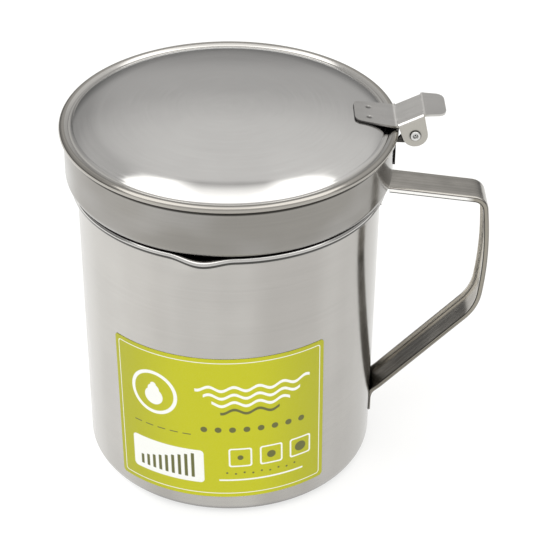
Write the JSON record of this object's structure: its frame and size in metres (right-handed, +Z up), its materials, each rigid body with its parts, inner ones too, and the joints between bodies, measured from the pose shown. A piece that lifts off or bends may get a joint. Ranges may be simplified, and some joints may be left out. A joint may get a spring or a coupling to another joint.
{
  "type": "bacon grease container",
  "caption": "Drawn steel grease keeper: a pot with a pouring spout and strap handle, a strainer cup standing on its rim, and a domed lid hinged to the strainer cup.",
  "frame": {"origin": "centre of the pot's base, on the surface it stands on", "axes": "+Z up along the pot's axis, +X towards the handle and the hinge, -Y towards the front with the label and the spout"},
  "size_m": [0.1562, 0.1212, 0.1438],
  "materials": {
    "satin_steel": "satin",
    "polished_steel": "polished",
    "stamped_steel": "satin",
    "label_film": "semi-gloss"
  },
  "bodies": {
    "pot": {"pot_body": "satin_steel", "handle": "stamped_steel", "label": "label_film"},
    "strainer": {"strainer_cup": "satin_steel", "hinge_bracket": "stamped_steel", "hinge_pin": "polished_steel"},
    "lid": {"lid": "polished_steel", "lid_tab": "stamped_steel"}
  },
  "joints": [
    {"name": "strainer_lift", "type": "slide", "parent": "pot", "child": "strainer", "axis": [0, 0, 1], "range_m": [0, 0.06]},
    {"name": "lid_hinge", "type": "hinge", "parent": "strainer", "child": "lid", "pos_m": [0.0659, 0, 0.1354], "axis": [0, 1, 0], "range_deg": [0, 148]}
  ]
}
